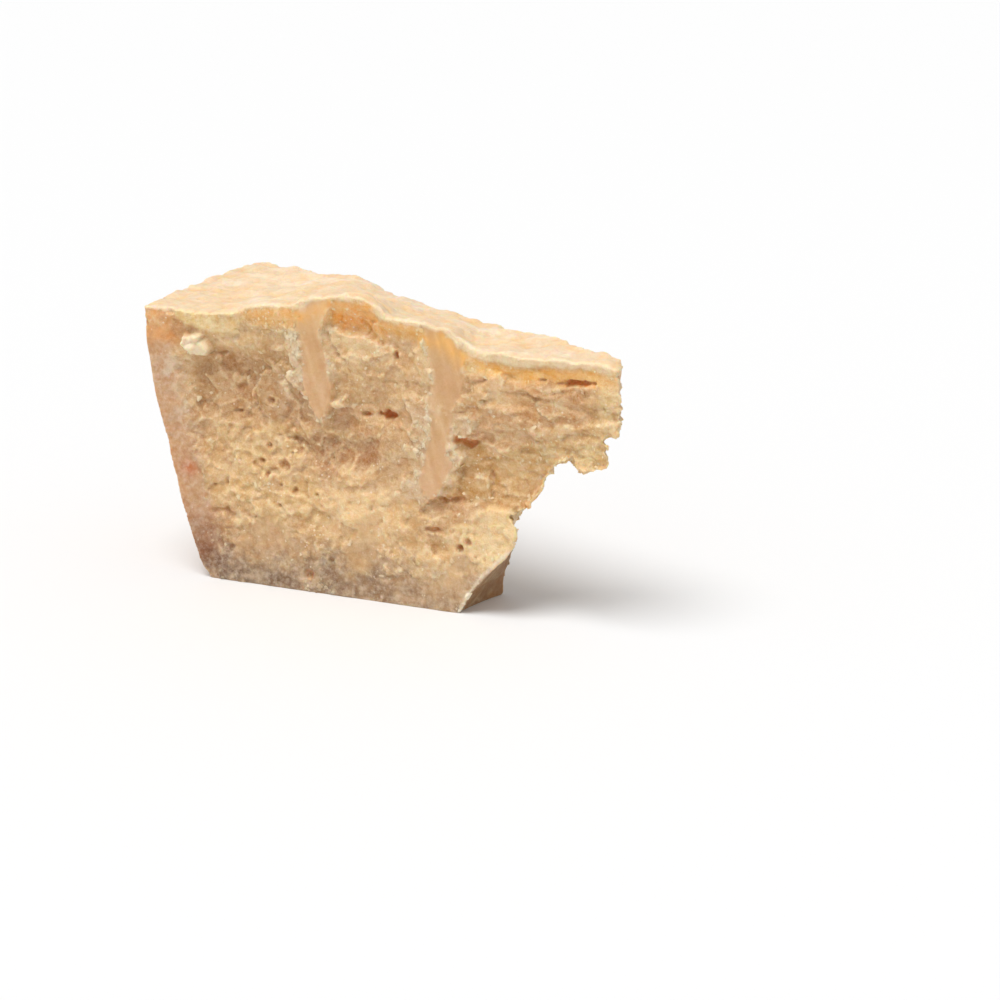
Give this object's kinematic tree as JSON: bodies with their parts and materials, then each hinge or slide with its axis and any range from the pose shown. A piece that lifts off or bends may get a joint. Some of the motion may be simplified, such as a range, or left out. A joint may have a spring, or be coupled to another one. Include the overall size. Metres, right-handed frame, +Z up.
{
  "type": "cheese wedge",
  "caption": "Wedge of hard grainy cheese cleft by hand from a wheel, standing on its flat rind, with a curved rind at the wide end and a broken, overhanging thin end.",
  "frame": {"origin": "under the middle of the bounding box, on the flat rind that the wedge stands on", "axes": "+X runs along the front cleft face from the rind to the thin end, +Y from the front cleft face to the back one, +Z up from the flat rind"},
  "size_m": [0.1962, 0.0756, 0.1173],
  "materials": {
    "cheese_paste": "grainy cleft paste, pale straw to amber, with smooth knife marks and a dry tan rind"
  },
  "bodies": {
    "root": {"cheese_wedge": "cheese_paste"}
  },
  "joints": []
}
